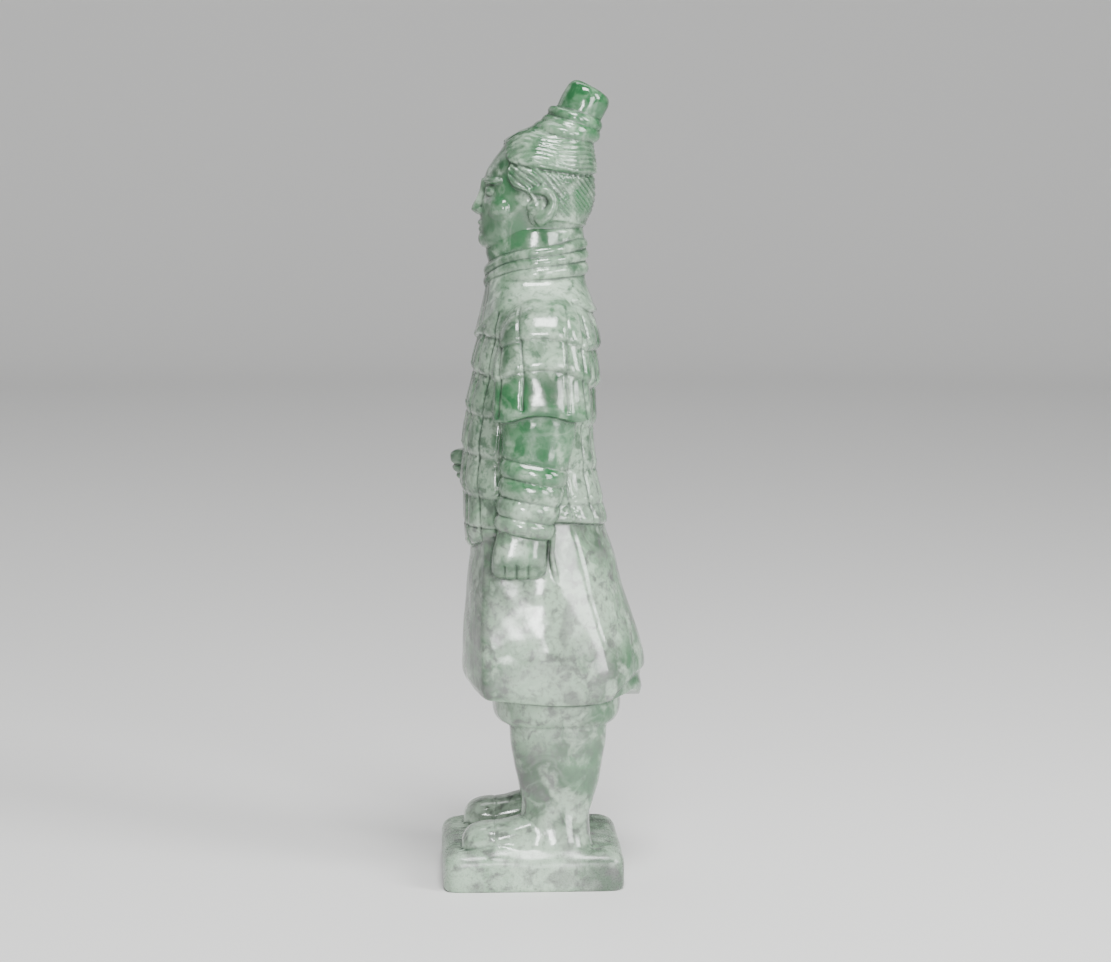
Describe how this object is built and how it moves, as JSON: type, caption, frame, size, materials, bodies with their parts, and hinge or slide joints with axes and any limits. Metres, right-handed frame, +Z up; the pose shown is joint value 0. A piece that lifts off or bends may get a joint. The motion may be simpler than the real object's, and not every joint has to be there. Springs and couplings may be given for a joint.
{
  "type": "jadeite soldier figurine",
  "caption": "Standing armoured soldier with a topknot and neck scarf, carved from one block of mottled green jadeite together with its square plinth.",
  "frame": {"origin": "centre of the plinth's underside, which is what the figurine stands on", "axes": "+Z up along the figure; the soldier faces -Y; its left side, with the hanging arm, is +X"},
  "size_m": [0.0571, 0.0512, 0.1999],
  "materials": {
    "jadeite": "high polish, pale grey-green and white with deeper green patches, slightly translucent"
  },
  "bodies": {
    "root": {"soldier_figurine": "jadeite"}
  },
  "joints": []
}
